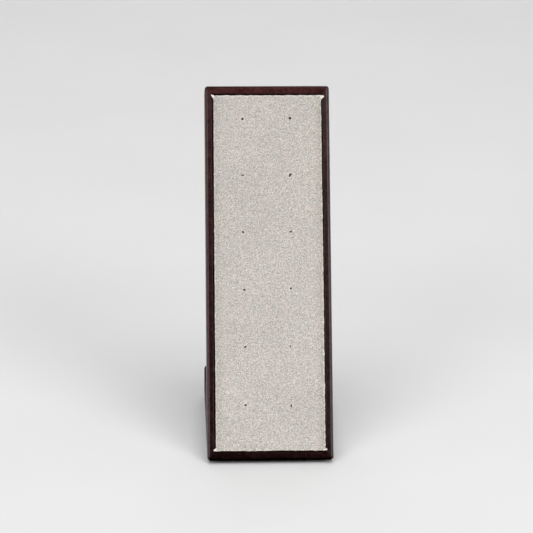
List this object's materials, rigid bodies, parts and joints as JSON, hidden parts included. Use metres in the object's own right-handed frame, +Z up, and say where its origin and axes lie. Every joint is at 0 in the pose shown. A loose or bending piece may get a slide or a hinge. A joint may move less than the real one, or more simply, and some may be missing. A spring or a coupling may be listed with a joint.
{
  "type": "earring display stand",
  "caption": "Leaning wooden board with a lacquered rim round a suede pad that is pricked for pairs of stud earrings, standing on a low foot.",
  "frame": {"origin": "middle of the footprint's box, on the surface that the stand rests on", "axes": "+Z up, the longest way; +X across the face, to the right as seen from the front; the face looks towards -Y and up"},
  "size_m": [0.06, 0.0963, 0.1604],
  "materials": {
    "rim_lacquer": "gloss",
    "board_lacquer": "gloss",
    "foot_lacquer": "gloss",
    "suede": "matte",
    "pad_board": "matte",
    "adhesive": "matte",
    "screw_steel": "satin",
    "dot_rubber": "matte"
  },
  "bodies": {
    "root": {"core_board": "board_lacquer", "rim_left": "rim_lacquer", "rim_right": "rim_lacquer", "rim_top": "rim_lacquer", "rim_bottom": "rim_lacquer", "pad_board": "pad_board", "suede_cover": "suede", "adhesive_sheet": "adhesive", "foot_plate": "foot_lacquer", "foot_screws": "screw_steel", "dot_front_left": "dot_rubber", "dot_front_right": "dot_rubber", "dot_rear_left": "dot_rubber", "dot_rear_right": "dot_rubber"}
  },
  "joints": []
}
